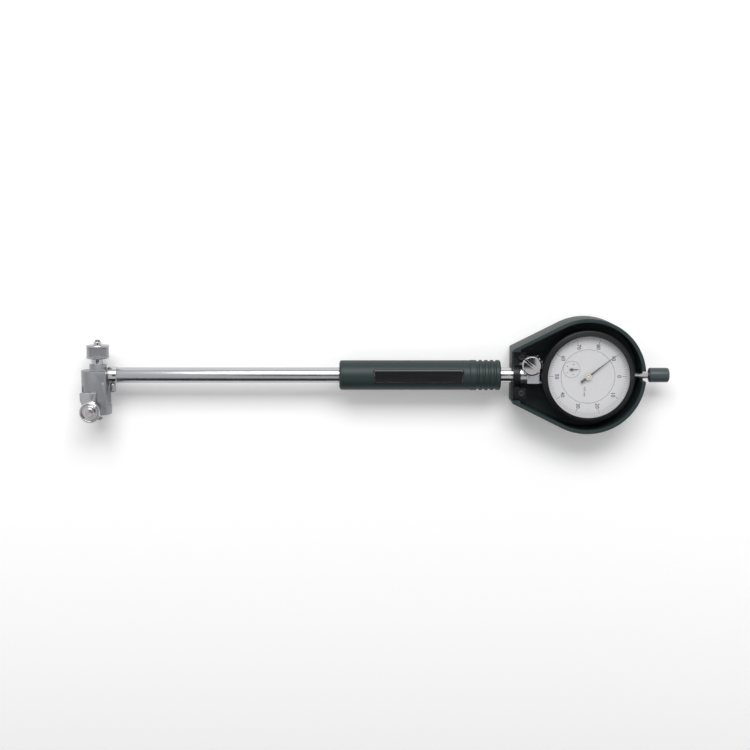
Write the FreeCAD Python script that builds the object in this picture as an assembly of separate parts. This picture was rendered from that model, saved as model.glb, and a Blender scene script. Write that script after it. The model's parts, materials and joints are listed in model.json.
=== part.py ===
import FreeCAD, Part
import math
import os

# Two-point dial bore gauge for 50 to 150 mm bores, assembled and lying on its back.
# Frame: origin on the flat back of the indicator guard, on the dial's axis; the measuring head lies
# towards -X, the fixed anvil points to +Y, the dial faces +Z, and the gauge rests on z = 0.
# All lengths are in millimetres.

# Fits
run_fit = 0.05            # radial clearance of a turning or sliding fit
seat_fit = 0.02           # radial clearance of a fixed seat
end_play = 0.1            # axial clearance beside a turning or sliding piece
touch_gap = 0.03          # film between two pieces of the measuring train

# Head
head_half = 8.0           # half thickness of the head body, and radius of its nose
nose_reach = 10.4         # from the measuring line to the tip of the nose
flat_reach = 6.1          # from the measuring line to the flat where the shaft starts
head_top = 3.0            # above the shaft's axis
head_bottom = 24.3        # below the shaft's axis
foot_radius = 7.9         # round foot at the contact's end
foot_length = 5.3
foot_taper = 2.6
plunger_radius = 3.0
contact_reach = 28.2      # from the shaft's axis to the contact's tip
contact_tip_length = 2.2
plunger_nose_radius = 1.2  # boss that presses on the crank
plunger_nose_length = 1.9
contact_stroke = 1.2
arm_length = 4.2          # both arms of the bell crank
crank_thickness = 3.0
crank_tip_radius = 1.2
crank_hub_radius = 1.5
crank_pin_radius = 0.75

# Anvil and its collet
collar_radius = 5.3
collar_height = 3.7
collet_radius = 4.5
collet_slit = 0.7
nut_radius = 7.1
nut_height = 8.2
nut_lift = 7.4            # from the head's top to the nut
anvil_radius = 2.5
anvil_reach = 22.0        # from the shaft's axis to the anvil's tip
anvil_tip_length = 1.2
anvil_seat_depth = 1.0

# Centring guide
guide_offset = 3.2        # of the rollers' axis, from the measuring line towards the nose
guide_arm = 1.7
guide_arm_width = 6.6
guide_arm_top = 10.0      # below the shaft's axis
roller_drop = 21.5        # of the rollers' axis, below the shaft's axis
roller_radius = 6.4
roller_width = 4.2
roller_recess = 0.8
roller_screw_radius = 3.1
roller_screw_head = 1.9
roller_shank_radius = 1.6
guide_bar = 3.0           # the cross bar's square section
guide_bar_drop = 12.6     # of the bar's upper side, below the shaft's axis
guide_stroke = 2.5
guide_spring_radius = 1.3
guide_spring_length = 6.0
guide_spring_spread = 3.8
guide_spring_turns = 4

# Shaft
ferrule_radius = 5.25
ferrule_length = 5.7
spigot_length = 7.0
tube_radius = 4.75
tube_bore = 3.25
tube_length = 137.3       # in sight, between the ferrule and the grip
tube_pin_radius = 0.65
tube_pin_place = 40.4     # from the ferrule
lock_screw_radius = 1.85
lock_screw_length = 5.3
lock_shank_radius = 1.0
rod_radius = 1.5
rod_bush_length = 4.0
rod_collar_radius = 2.8
rod_collar_place = 26.0   # from the upper bush to the collar that carries the spring
rod_collar_length = 1.5
rod_spring_radius = 2.4
spring_wire = 0.5
rod_spring_turns = 6
grip_radius = 9.15
grip_length = 80.3
rib_radius = 9.35
rib_length = 18.9
rib_count = 4
rib_groove = 1.1
plate_length = 55.0
plate_width = 8.3
plate_thickness = 0.5
plate_place = 4.0         # from the grip's upper end
tube_in_rib = 6.0         # how far the tube reaches into the ribbed end

# Indicator seat
sleeve_radius = 4.8
sleeve_gap = 2.5          # from the case to the sleeve's mouth
sleeve_length = 23.7      # in sight
sleeve_spigot = 12.0
sleeve_slit = 0.6
sleeve_slit_length = 17.0
clamp_length = 11.6
clamp_wall = 1.4
clamp_half_height = 6.6
clamp_ear = 11.8          # from the shaft's axis to the ears' ends
clamp_slit = 1.0
clamp_screw_offset = 6.7  # from the shaft's axis, on the anvil's side
clamp_screw_edge = 2.5    # from the ears' lower side
clamp_screw_radius = 6.15
clamp_screw_head = 3.4
clamp_shank_radius = 1.5
clamp_nut_radius = 3.9
clamp_nut_height = 2.6

# Dial indicator
stem_radius = 4.0
stem_in_sleeve = 19.2     # how far the stem reaches into the sleeve
spindle_radius = 2.4
point_base_radius = 2.75
point_base_length = 4.7
point_neck = 3.0
point_ball = 1.5
spindle_below = 5.3       # from the stem's end to the spindle's lower end
case_radius = 27.0
case_wall = 1.8
case_back = 9.0           # behind the stem's axis
cover_thickness = 1.5
case_front = 7.4          # in front of the stem's axis
case_lip = 0.8
case_lip_width = 3.4
bezel_rim = 1.5           # outside the case
bezel_start = 4.7         # in front of the stem's axis
bezel_height = 8.1
bezel_land = 2.0          # from the window's edge to the case's outside
bezel_groove = 0.45
bezel_grooves = 90
bezel_lip = 0.9
window_seat_edge = 0.9       # how far the bezel's seat for the window lies inside the case
crystal_thickness = 1.4
crystal_dome = 1.0
dial_thickness = 0.4
dial_gap = 0.2            # over the case's lip
ring_width = 9.48         # printed ring that turns with the bezel
ring_gap = 0.2            # between the ring and the fixed disc
plate_radius = 19.0       # movement plates
plate_height = 0.8
rear_plate = 5.6          # rear plate's front side, behind the stem's axis
middle_plate = 2.9        # middle plate's rear side, in front of the stem's axis
front_plate = 5.3         # front plate's rear side, in front of the stem's axis
post_radius = 1.2
post_circle = 17.0

# Movement
rev_travel = 1.0          # spindle travel for one turn of the main hand
centre_teeth = 10
wheel_teeth = 100
rack_teeth = 20
pinion_teeth = 16
train_module = 0.2
counter_offset = 4.4      # of the counter arbor from the spindle's axis
gear_width = 0.6
pinion_width = 3.0
arbor_radius = 0.5
rack_width = 2.0
rack_back = 0.9
main_hand_angle = 38.0
hand_short = 5.4          # from the main hand's tip to the window's edge
main_hand_tail = 5.6
main_hand_width = 1.5
counter_hand_length = 4.2
hand_thickness = 0.25
main_hub_radius = 1.9
counter_hub_radius = 0.8

# Spindle top
upper_bush_radius = 3.75
upper_bush_out = 2.6      # outside the case
knob_radius = 4.5
knob_gap = 9.0            # from the upper bush to the knob
knob_length = 12.4

# Guard
guard_room = 4.8          # between the bezel and the guard's wall
guard_wall = 2.2
guard_floor = 3.0
guard_rise = 9.5          # rim above the shaft's axis
foot_depth = 5.7          # from the strap screws to the foot's outer face
guard_foot_half = 16.7
foot_wall = 4.6
foot_boss_radius = 3.0
boss_gap = 10.8           # from the sleeve's mouth to the strap screws
foot_boss_y = 11.3
slot_half = 7.3
slot_start = 20.0
rim_hole = 3.2
strap_width = 4.1
strap_bulge = 7.4
strap_ear_width = 7.5
strap_half = 15.2
strap_thickness = 3.0
strap_screw_radius = 2.1
strap_screw_head = 1.2
strap_shank_radius = 1.1

# Sizes that follow the case
sleeve_end = case_radius + sleeve_gap
stem_reach = sleeve_end + stem_in_sleeve
spindle_out = stem_reach + spindle_below
bezel_radius = case_radius + bezel_rim
bezel_window = case_radius - bezel_land
ring_outer = case_radius - window_seat_edge - seat_fit
ring_inner = ring_outer - ring_width
disc_radius = ring_inner - ring_gap
main_hand_length = bezel_window - hand_short
upper_bush_reach = case_radius + upper_bush_out
knob_start = upper_bush_reach + knob_gap
guard_radius = bezel_radius + guard_room + guard_wall
foot_boss_x = sleeve_end + boss_gap
guard_foot = foot_boss_x + foot_depth

# Places worked out from the sizes above
axis_z = head_half + end_play + guide_arm + end_play + roller_width + end_play + roller_screw_head
clamp_x0 = -sleeve_end - clamp_length
ear_x0 = -foot_boss_x + foot_boss_radius + 0.3
clamp_x = ear_x0 + clamp_screw_edge
sleeve_x0 = -sleeve_end - sleeve_length
rib_x0 = sleeve_x0 - rib_length
grip_x0 = rib_x0 - grip_length
tube_x0 = grip_x0 - tube_length
ferrule_x0 = tube_x0 - ferrule_length
head_x = ferrule_x0 - flat_reach
tube_x1 = rib_x0 + tube_in_rib
sleeve_tail = sleeve_x0 - sleeve_spigot
crank_x = head_x + arm_length
rod_x0 = crank_x + crank_tip_radius + touch_gap
point_tip = -spindle_out - point_base_length - point_neck - point_ball
rod_x1 = point_tip - touch_gap
upper_bush_x = tube_x1 - rod_bush_length
guide_x = head_x - guide_offset
arm_z = head_half + end_play
roller_z = arm_z + guide_arm + end_play
case_back_z = axis_z - case_back
front_z = axis_z + case_front
rack_module = 10 * rev_travel / (math.pi * pinion_teeth)
wheel_distance = train_module * (wheel_teeth + centre_teeth) / 2
counter_y = counter_offset
counter_x = -math.sqrt(wheel_distance**2 - counter_offset**2)
dial_z = front_z + dial_gap

X = FreeCAD.Vector(1, 0, 0)
Y = FreeCAD.Vector(0, 1, 0)
Z = FreeCAD.Vector(0, 0, 1)


def vec(x, y, z):
    return FreeCAD.Vector(x, y, z)


def rod_along_x(radius, x0, x1, y=0.0, z=axis_z):
    return Part.makeCylinder(radius, x1 - x0, vec(x0, y, z), X)


def rod_along_y(radius, y0, y1, x, z=axis_z):
    return Part.makeCylinder(radius, y1 - y0, vec(x, y0, z), Y)


def rod_along_z(radius, z0, z1, x=0.0, y=0.0):
    return Part.makeCylinder(radius, z1 - z0, vec(x, y, z0), Z)


def block(x0, x1, y0, y1, z0, z1):
    return Part.makeBox(x1 - x0, y1 - y0, z1 - z0, vec(x0, y0, z0))


def face_of(points):
    return Part.Face(Part.makePolygon(points + [points[0]]))


def turned_x(profile, x=0.0, y=0.0, z=axis_z):
    """Solid turned about a line along X, from (distance along X, radius) points."""
    face = face_of([vec(x + along, y + radius, z) for along, radius in profile])
    return face.revolve(vec(x, y, z), X, 360)


def turned_y(profile, x, z=axis_z):
    """Solid turned about a line along Y, from (distance along Y, radius) points."""
    face = face_of([vec(x + radius, along, z) for along, radius in profile])
    return face.revolve(vec(x, 0, z), Y, 360)


def turned_z(profile, x=0.0, y=0.0):
    """Solid turned about a line along Z, from (radius, height) points."""
    face = face_of([vec(x + radius, y, height) for radius, height in profile])
    return face.revolve(vec(x, y, 0), Z, 360)


def prism(points, z0, z1):
    """Upright prism on an outline of (x, y) points."""
    return face_of([vec(x, y, z0) for x, y in points]).extrude(vec(0, 0, z1 - z0))


def gear_outline(teeth, module, phase, x, y, addendum=0.7, dedendum=1.0, backlash=0.1):
    """Outline of a spur gear with straight flanks; phase is where the first tooth points."""
    radius = module * teeth / 2
    pitch = math.pi * module
    slope = math.tan(math.radians(20))
    points = []
    for tooth in range(teeth):
        middle = phase + 2 * math.pi * tooth / teeth
        for height, side in ((-dedendum, -1), (addendum, -1), (addendum, 1), (-dedendum, 1)):
            rise = height * module
            half = pitch * (0.5 - backlash) / 2 - rise * slope
            r = radius + rise
            angle = middle + side * half / r
            points.append((x + r * math.cos(angle), y + r * math.sin(angle)))
    return points


def spring_along(start, direction, length, radius, turns, wire):
    """Coil spring of square wire from a start point along a direction."""
    helix = Part.makeHelix((length - wire) / turns, length - wire, radius)
    section = Part.makePolygon(
        [vec(radius + dx * wire / 2, 0, dz * wire / 2) for dx, dz in
         ((-1, -1), (1, -1), (1, 1), (-1, 1), (-1, -1))])
    coil = Part.Wire(helix).makePipeShell([section], True, True)
    coil.Placement = FreeCAD.Placement(start + direction * (wire / 2), FreeCAD.Rotation(Z, direction))
    return coil


def both_sides(shape):
    """A piece and its mirror image across the plane of the shaft's axis that holds the crank."""
    return shape, shape.mirror(vec(0, 0, axis_z), Z)


# ---- Measuring head -------------------------------------------------------------------------

plunger_top = -arm_length - crank_tip_radius - touch_gap
tip_start = -contact_reach + contact_tip_length
cavity_top = crank_tip_radius + 0.6
cavity_half = crank_thickness / 2 + 0.3
cavity_bottom = -arm_length - crank_hub_radius - 0.9
bar_x0 = head_x - nose_reach + 1.2
bar_x1 = bar_x0 + guide_bar
bar_top = -guide_bar_drop
spring_x = bar_x0 + guide_bar / 2


def head_body():
    nose_x = head_x - nose_reach + head_half
    flat_x = head_x + flat_reach
    top = block(nose_x, flat_x, -head_bottom + foot_length, head_top, axis_z - head_half, axis_z + head_half)
    body = top.fuse(rod_along_y(head_half, -head_bottom + foot_length, head_top, nose_x))
    body = body.fuse(turned_y([
        (-head_bottom, 0), (-head_bottom, foot_radius - 0.5), (-head_bottom + 0.5, foot_radius),
        (-head_bottom + foot_length, foot_radius), (-head_bottom + foot_length + foot_taper, flat_reach),
        (-head_bottom + foot_length + foot_taper, 0)], head_x))
    body = body.fuse(turned_y([
        (head_top, 0), (head_top, collar_radius + 0.7), (head_top + 0.7, collar_radius),
        (head_top + collar_height, collar_radius), (head_top + collar_height, 0)], head_x))
    body = body.cut(rod_along_y(plunger_radius + run_fit, -head_bottom - 1, cavity_bottom + 0.5, head_x))
    body = body.cut(block(head_x - crank_tip_radius - 0.7, flat_x + 1, cavity_bottom, cavity_top,
                          axis_z - cavity_half, axis_z + cavity_half))
    body = body.cut(rod_along_z(crank_pin_radius + seat_fit, axis_z - head_half - 1, axis_z + head_half + 1,
                                crank_x, -arm_length))
    body = body.cut(rod_along_y(anvil_radius + seat_fit, head_top + anvil_seat_depth,
                                head_top + collar_height + 1, head_x))
    body = body.cut(rod_along_y(collet_radius - 1.0 + seat_fit, head_top + collar_height - 2.4,
                                head_top + collar_height + 1, head_x))
    body = body.cut(block(bar_x0 - end_play, bar_x1 + end_play, bar_top - guide_bar - end_play,
                          bar_top + guide_stroke + end_play, axis_z - head_half - 1, axis_z + head_half + 1))
    for side in (-1, 1):
        body = body.cut(rod_along_y(guide_spring_radius + spring_wire, bar_top,
                                    bar_top + guide_spring_length, spring_x,
                                    axis_z + side * guide_spring_spread))
    return body.removeSplitter()


def collet():
    """Split collet that grips the anvil, screwed into the head's collar."""
    base = head_top + collar_height
    tail = 2.4
    body = turned_y([
        (base - tail, anvil_radius + seat_fit), (base - tail, collet_radius - 1.0), (base, collet_radius - 1.0),
        (base, collet_radius), (base + 3.6, collet_radius), (base + 3.6, collet_radius - 0.6),
        (head_top + nut_lift + nut_height - 1.6, collet_radius - 0.6),
        (head_top + nut_lift + nut_height - 1.6, anvil_radius + seat_fit)], head_x)
    top = head_top + nut_lift + nut_height
    slit = collet_slit / 2
    body = body.cut(block(head_x - slit, head_x + slit, base + 0.6, top, axis_z - 8, axis_z + 8))
    return body.cut(block(head_x - 8, head_x + 8, base + 0.6, top, axis_z - slit, axis_z + slit))


def collet_nut():
    """Knurled ring nut that closes the collet; two bands with a groove between them."""
    y0 = head_top + nut_lift
    y1 = y0 + nut_height
    middle = (y0 + y1) / 2
    return turned_y([
        (y0, collet_radius - 0.6 + run_fit), (y0, nut_radius - 0.5), (y0 + 0.5, nut_radius),
        (middle - 0.5, nut_radius), (middle - 0.3, nut_radius - 0.3), (middle + 0.3, nut_radius - 0.3),
        (middle + 0.5, nut_radius), (y1 - 0.5, nut_radius), (y1, nut_radius - 0.5),
        (y1, anvil_radius + 0.4), (y1 - 1.5, anvil_radius + 0.4),
        (y1 - 1.5, collet_radius - 0.6 + run_fit)], head_x)


def anvil():
    """Interchangeable rod of the shortest kind, with a shoulder above the nut."""
    y0 = head_top + anvil_seat_depth + end_play
    y1 = anvil_reach - anvil_tip_length
    return turned_y([(y0, 0), (y0, anvil_radius - 0.3), (y0 + 0.3, anvil_radius),
                     (y1 - 0.4, anvil_radius), (y1, anvil_radius - 0.4), (y1, 0)], head_x)


def anvil_tip():
    """Hard metal button on the anvil, rounded to a radius smaller than the smallest bore's."""
    y0 = anvil_reach - anvil_tip_length
    return turned_y([(y0, 0), (y0, 1.6), (anvil_reach - 0.35, 1.6), (anvil_reach - 0.1, 0.9),
                     (anvil_reach, 0)], head_x)


def contact_plunger():
    """Sliding plunger with a small relief groove that holds its wiper."""
    shoulder = plunger_top - plunger_nose_length
    return turned_y([(tip_start, 0), (tip_start, plunger_radius - 0.3), (tip_start + 0.3, plunger_radius),
                     (-head_bottom + 2.0, plunger_radius), (-head_bottom + 2.3, plunger_radius - 0.3),
                     (-head_bottom + 3.1, plunger_radius - 0.3), (-head_bottom + 3.4, plunger_radius),
                     (shoulder - 0.3, plunger_radius), (shoulder, plunger_radius - 0.3),
                     (shoulder, plunger_nose_radius), (plunger_top, plunger_nose_radius),
                     (plunger_top, 0)], head_x)


def contact_tip():
    y1 = -contact_reach
    return turned_y([(tip_start, 0), (tip_start, 2.1), (y1 + 0.9, 2.1), (y1 + 0.3, 1.5),
                     (y1 + 0.1, 0.9), (y1, 0)], head_x)


def bell_crank():
    """Right-angled lever with equal arms: it turns the plunger's travel into the rod's."""
    z0 = axis_z - crank_thickness / 2
    z1 = axis_z + crank_thickness / 2
    half = 0.75
    body = rod_along_z(crank_hub_radius, z0, z1, crank_x, -arm_length)
    body = body.fuse(block(head_x, crank_x, -arm_length - half, -arm_length + half, z0, z1))
    body = body.fuse(block(crank_x - half, crank_x + half, -arm_length, 0, z0, z1))
    body = body.fuse(rod_along_z(crank_tip_radius, z0, z1, head_x, -arm_length))
    body = body.fuse(rod_along_z(crank_tip_radius, z0, z1, crank_x, 0))
    return body.cut(rod_along_z(crank_pin_radius + run_fit, z0 - 1, z1 + 1, crank_x, -arm_length)).removeSplitter()


def crank_pin():
    return rod_along_z(crank_pin_radius, axis_z - head_half + 0.2, axis_z + head_half - 0.2,
                       crank_x, -arm_length)


# ---- Centring guide -------------------------------------------------------------------------

def guide_arm_plate():
    """One arm: a plate with a round lower end and a stub that the roller's screw holds."""
    z0 = axis_z + arm_z
    half = guide_arm_width / 2
    left = bar_x0 - 0.6
    plate = prism([(left, -guide_arm_top), (guide_x + half, -guide_arm_top),
                   (guide_x + half, -roller_drop), (guide_x - half, -roller_drop),
                   (left, -guide_arm_top - 5)], z0, z0 + guide_arm)
    plate = plate.fuse(rod_along_z(half, z0, z0 + guide_arm, guide_x, -roller_drop))
    stub = rod_along_z(roller_shank_radius + 0.9, z0 + guide_arm, z0 + guide_arm + end_play, guide_x, -roller_drop)
    plate = plate.fuse(stub)
    return plate.cut(rod_along_z(roller_shank_radius + seat_fit, z0 - 1, z0 + 3, guide_x, -roller_drop))


def guide_yoke():
    """Two arms joined by a bar that runs in a slot across the head."""
    front, rear = both_sides(guide_arm_plate())
    bar = block(bar_x0, bar_x1, bar_top - guide_bar, bar_top, axis_z - arm_z - guide_arm,
                axis_z + arm_z + guide_arm)
    return front.fuse(rear).fuse(bar).removeSplitter()


def guide_springs():
    """Two coil springs that press the guide out of the head."""
    coils = []
    for side in (-1, 1):
        start = vec(spring_x, bar_top + end_play / 2, axis_z + side * guide_spring_spread)
        coils.append(spring_along(start, Y, guide_spring_length - end_play, guide_spring_radius,
                                  guide_spring_turns, spring_wire))
    return Part.makeCompound(coils)


def guide_roller(side):
    """Ball-race roller: raised rim, recessed face and a bore for its screw."""
    z0 = axis_z + roller_z
    z1 = z0 + roller_width
    rim = roller_radius - 1.1
    bore = roller_shank_radius + run_fit
    roller = turned_z([(bore, z0), (roller_radius - 0.4, z0), (roller_radius, z0 + 0.4),
                       (roller_radius, z1 - 0.5), (roller_radius - 0.5, z1), (rim, z1),
                       (rim - 0.4, z1 - roller_recess), (3.9, z1 - roller_recess), (3.9, z1), (bore, z1)],
                      guide_x, -roller_drop)
    return both_sides(roller)[side]


def roller_screw(side):
    """Slotted shoulder screw that the roller turns on."""
    z0 = axis_z + arm_z
    seat = axis_z + roller_z + roller_width + end_play
    top = seat + roller_screw_head
    screw = turned_z([(0, z0), (roller_shank_radius, z0), (roller_shank_radius, seat),
                      (roller_screw_radius, seat), (roller_screw_radius, top - 0.4),
                      (roller_screw_radius - 0.4, top), (0, top)], guide_x, -roller_drop)
    slot = block(-4, 4, -0.4, 0.4, -0.8, 0.2)
    slot.Placement = FreeCAD.Placement(vec(guide_x, -roller_drop, top), FreeCAD.Rotation(Z, 35))
    return both_sides(screw.cut(slot))[side]


# ---- Shaft ----------------------------------------------------------------------------------

def neck_ferrule():
    """Polished ferrule between head and tube: flat against the head, with a spigot into the tube."""
    bore = rod_radius + 0.6
    ferrule = turned_x([
        (ferrule_x0, bore), (ferrule_x0, ferrule_radius - 0.3), (ferrule_x0 + 0.3, ferrule_radius),
        (tube_x0 - 0.3, ferrule_radius), (tube_x0, ferrule_radius - 0.3),
        (tube_x0, tube_bore - seat_fit), (tube_x0 + spigot_length, tube_bore - seat_fit),
        (tube_x0 + spigot_length, bore)])
    return ferrule.cut(rod_along_y(lock_shank_radius + seat_fit, -ferrule_radius - 1, -bore - 0.6,
                                   ferrule_x0 + ferrule_length / 2))


def lock_screw():
    """Small knurled screw that locks the head on the ferrule."""
    y0 = -ferrule_radius - lock_screw_length
    return turned_y([(y0, 0), (y0, lock_screw_radius - 0.4), (y0 + 0.4, lock_screw_radius),
                     (-ferrule_radius - 0.4, lock_screw_radius), (-ferrule_radius - 0.05, lock_screw_radius - 0.4),
                     (-ferrule_radius - 0.05, lock_shank_radius), (-ferrule_radius + 2.0, lock_shank_radius),
                     (-ferrule_radius + 2.0, 0)], ferrule_x0 + ferrule_length / 2)


def main_tube():
    tube = turned_x([(tube_x0 + 0.02, tube_bore), (tube_x0 + 0.02, tube_radius - 0.2),
                     (tube_x0 + 0.22, tube_radius), (tube_x1, tube_radius), (tube_x1, tube_bore)])
    return tube.cut(rod_along_z(tube_pin_radius + seat_fit, axis_z + tube_bore - 1, axis_z + tube_radius + 1,
                                tube_x0 + tube_pin_place))


def tube_pin():
    """Dowel through the tube's front wall into the lower bush."""
    x = tube_x0 + tube_pin_place
    return rod_along_z(tube_pin_radius, axis_z + tube_bore - 0.9, axis_z + tube_radius - 0.05, x)


def rod_bush(x0):
    return turned_x([(x0, rod_radius + run_fit), (x0, tube_bore - seat_fit),
                     (x0 + rod_bush_length, tube_bore - seat_fit), (x0 + rod_bush_length, rod_radius + run_fit)])


def lower_bush():
    """Guide bush of the push rod, held by the dowel."""
    x = tube_x0 + tube_pin_place
    return rod_bush(x - rod_bush_length / 2).cut(
        rod_along_z(tube_pin_radius + seat_fit, axis_z + tube_bore - 1.0, axis_z + tube_radius, x))


def upper_bush():
    return rod_bush(upper_bush_x)


def push_rod():
    """Long rod that carries the crank's travel to the indicator, with a collar for its spring."""
    collar = upper_bush_x - rod_collar_place
    return turned_x([
        (rod_x0, 0), (rod_x0, rod_radius - 0.2), (rod_x0 + 0.2, rod_radius), (collar, rod_radius),
        (collar, rod_collar_radius), (collar + rod_collar_length, rod_collar_radius),
        (collar + rod_collar_length, rod_radius), (rod_x1 - 0.2, rod_radius), (rod_x1, rod_radius - 0.2),
        (rod_x1, 0)])


def rod_spring():
    start = upper_bush_x - rod_collar_place + rod_collar_length + end_play
    length = upper_bush_x - start - end_play
    return spring_along(vec(start, 0, axis_z), X, length, rod_spring_radius, rod_spring_turns, spring_wire)


def grip_sleeve():
    """Moulded hand grip with soft ends and a flat recess for the plate."""
    bore = tube_radius + seat_fit
    soft = 1.6
    outline = [vec(grip_x0, bore, axis_z), vec(grip_x0, grip_radius - soft, axis_z)]
    edges = [Part.LineSegment(outline[0], outline[1])]
    bend = soft * math.sqrt(0.5)
    first = (outline[1], vec(grip_x0 + soft - bend, grip_radius - soft + bend, axis_z),
             vec(grip_x0 + soft, grip_radius, axis_z))
    edges.append(Part.Arc(*first))
    edges.append(Part.LineSegment(first[2], vec(rib_x0, grip_radius, axis_z)))
    edges.append(Part.LineSegment(vec(rib_x0, grip_radius, axis_z), vec(rib_x0, bore, axis_z)))
    edges.append(Part.LineSegment(vec(rib_x0, bore, axis_z), outline[0]))
    grip = Part.Face(Part.Wire([edge.toShape() for edge in edges])).revolve(vec(0, 0, axis_z), X, 360)
    x1 = rib_x0 - plate_place
    half = plate_width / 2
    floor = plate_seat()
    return grip.cut(block(x1 - plate_length - end_play, x1 + end_play, -half - end_play, half + end_play,
                          floor, axis_z + grip_radius + 1))


def plate_seat():
    """Height of the flat that the plate lies on."""
    return axis_z + math.sqrt(grip_radius**2 - (plate_width / 2 + end_play) ** 2)


def label_plate():
    """Bare metal plate on the grip."""
    x1 = rib_x0 - plate_place
    half = plate_width / 2
    plate = block(x1 - plate_length, x1, -half, half, plate_seat(), plate_seat() + plate_thickness)
    upright = [edge for edge in plate.Edges if abs(edge.tangentAt(edge.FirstParameter).z) > 0.9]
    return plate.makeFillet(0.8, upright)


def ribbed_end():
    """Ribbed upper end of the grip; it joins the tube and the indicator's sleeve."""
    bore = max(tube_radius, sleeve_radius) + seat_fit
    soft = 0.8
    profile = [(rib_x0 + 0.02, bore), (rib_x0 + 0.02, grip_radius), (rib_x0 + 1.0, rib_radius)]
    step = (rib_length - 5.0) / rib_count
    for rib in range(rib_count):
        middle = rib_x0 + 3.2 + step * (rib + 0.5)
        profile += [(middle - rib_groove / 2 - 0.3, rib_radius), (middle - rib_groove / 2, rib_radius - 0.7),
                    (middle + rib_groove / 2, rib_radius - 0.7), (middle + rib_groove / 2 + 0.3, rib_radius)]
    profile += [(sleeve_x0 - soft, rib_radius), (sleeve_x0, rib_radius - soft), (sleeve_x0, bore)]
    return turned_x(profile)


# ---- Indicator seat -------------------------------------------------------------------------

def neck_sleeve():
    """Slit sleeve that the indicator's stem goes into."""
    bore = stem_radius + seat_fit
    sleeve = turned_x([(sleeve_tail, bore), (sleeve_tail, sleeve_radius), (-sleeve_end - 0.3, sleeve_radius),
                       (-sleeve_end, sleeve_radius - 0.3), (-sleeve_end, bore)])
    half = sleeve_slit / 2
    sleeve = sleeve.cut(block(-sleeve_end - sleeve_slit_length, -sleeve_end + 1, 0, sleeve_radius + 1,
                              axis_z - half, axis_z + half))
    return sleeve.cut(block(-sleeve_end - sleeve_slit_length, -sleeve_end + 1, -half, half,
                            axis_z, axis_z + sleeve_radius + 1))


def clamp_collar():
    """Split block that closes the sleeve on the stem."""
    x0 = clamp_x0 + end_play
    x1 = -sleeve_end
    wall = sleeve_radius + clamp_wall
    ears = block(ear_x0, x1, -wall + 1.6, clamp_ear, axis_z - clamp_half_height, axis_z + clamp_half_height)
    sides = [edge for edge in ears.Edges
             if edge.BoundBox.YMin > clamp_ear - 0.01 and edge.BoundBox.XLength > 1]
    body = ears.makeFillet(2.0, sides).fuse(rod_along_x(wall, x0, x1))
    body = body.cut(rod_along_x(sleeve_radius + seat_fit, x0 - 1, x1 + 1))
    body = body.cut(block(x0 - 1, x1 + 1, 0, clamp_ear + 1, axis_z - clamp_slit / 2, axis_z + clamp_slit / 2))
    return body.cut(rod_along_z(clamp_shank_radius + run_fit, axis_z - 20, axis_z + 20,
                                clamp_x, clamp_screw_offset)).removeSplitter()


def clamp_screw():
    """Large slotted thumb screw that closes the clamp."""
    z0 = axis_z + clamp_half_height + end_play
    z1 = z0 + clamp_screw_head
    foot = axis_z - clamp_half_height - clamp_nut_height - end_play - 0.6
    screw = turned_z([(0, foot), (clamp_shank_radius, foot), (clamp_shank_radius, z0),
                      (clamp_screw_radius - 0.4, z0), (clamp_screw_radius, z0 + 0.4),
                      (clamp_screw_radius, z1 - 0.9), (clamp_screw_radius - 0.9, z1), (0, z1)],
                     clamp_x, clamp_screw_offset)
    slot = block(-clamp_screw_radius - 1, clamp_screw_radius + 1, -0.7, 0.7, -1.5, 0.5)
    slot.Placement = FreeCAD.Placement(vec(clamp_x, clamp_screw_offset, z1), FreeCAD.Rotation(Z, -40))
    return screw.cut(slot)


def clamp_nut():
    """Knurled nut under the clamp's lower ear."""
    z1 = axis_z - clamp_half_height
    z0 = z1 - clamp_nut_height
    return turned_z([(clamp_shank_radius + run_fit, z0), (clamp_nut_radius - 0.4, z0),
                     (clamp_nut_radius, z0 + 0.4), (clamp_nut_radius, z1 - 0.4),
                     (clamp_nut_radius - 0.4, z1), (clamp_shank_radius + run_fit, z1)],
                    clamp_x, clamp_screw_offset)


# ---- Dial indicator -------------------------------------------------------------------------

def indicator_case():
    """Round case: a ring with a lip under the dial, bored for the stem and the upper bush."""
    z0 = case_back_z + cover_thickness
    z1 = front_z
    inner = case_radius - case_wall
    ring = turned_z([(inner, z0), (case_radius, z0), (case_radius, z1), (inner - case_lip_width, z1),
                     (inner - case_lip_width, z1 - case_lip), (inner, z1 - case_lip)])
    ring = ring.cut(rod_along_x(stem_radius + seat_fit, -case_radius - 1, 0))
    return ring.cut(rod_along_x(upper_bush_radius + seat_fit, 0, case_radius + 1))


def back_cover():
    """Flat rear cover with a turned step that enters the case, and four countersinks."""
    z0 = case_back_z
    z1 = case_back_z + cover_thickness
    inner = case_radius - case_wall - seat_fit
    cover = turned_z([(0, z0), (case_radius - 0.8, z0), (case_radius, z0 + 0.8), (case_radius, z1),
                      (inner, z1), (inner, z1 + 0.6), (0, z1 + 0.6)])
    for x, y in cover_screw_places():
        cover = cover.cut(rod_along_z(1.5 + seat_fit, z0 - 1, z0 + 1.0, x, y))
        cover = cover.cut(rod_along_z(0.8 + seat_fit, z0, z1 + 1, x, y))
    return cover


def cover_screw_places():
    radius = plate_radius - 2.0
    return [(radius * math.cos(math.radians(a)), radius * math.sin(math.radians(a))) for a in (45, 135, 225, 315)]


def cover_screws():
    """Four flat screws that hold the rear cover to the movement's pillars."""
    screws = []
    for x, y in cover_screw_places():
        z0 = case_back_z + 0.1
        screws.append(turned_z([(0, z0), (1.5, z0), (1.5, z0 + 0.9), (0.8, z0 + 0.9),
                                (0.8, z0 + 2.0), (0, z0 + 2.0)], x, y))
    return Part.makeCompound(screws)


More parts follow.
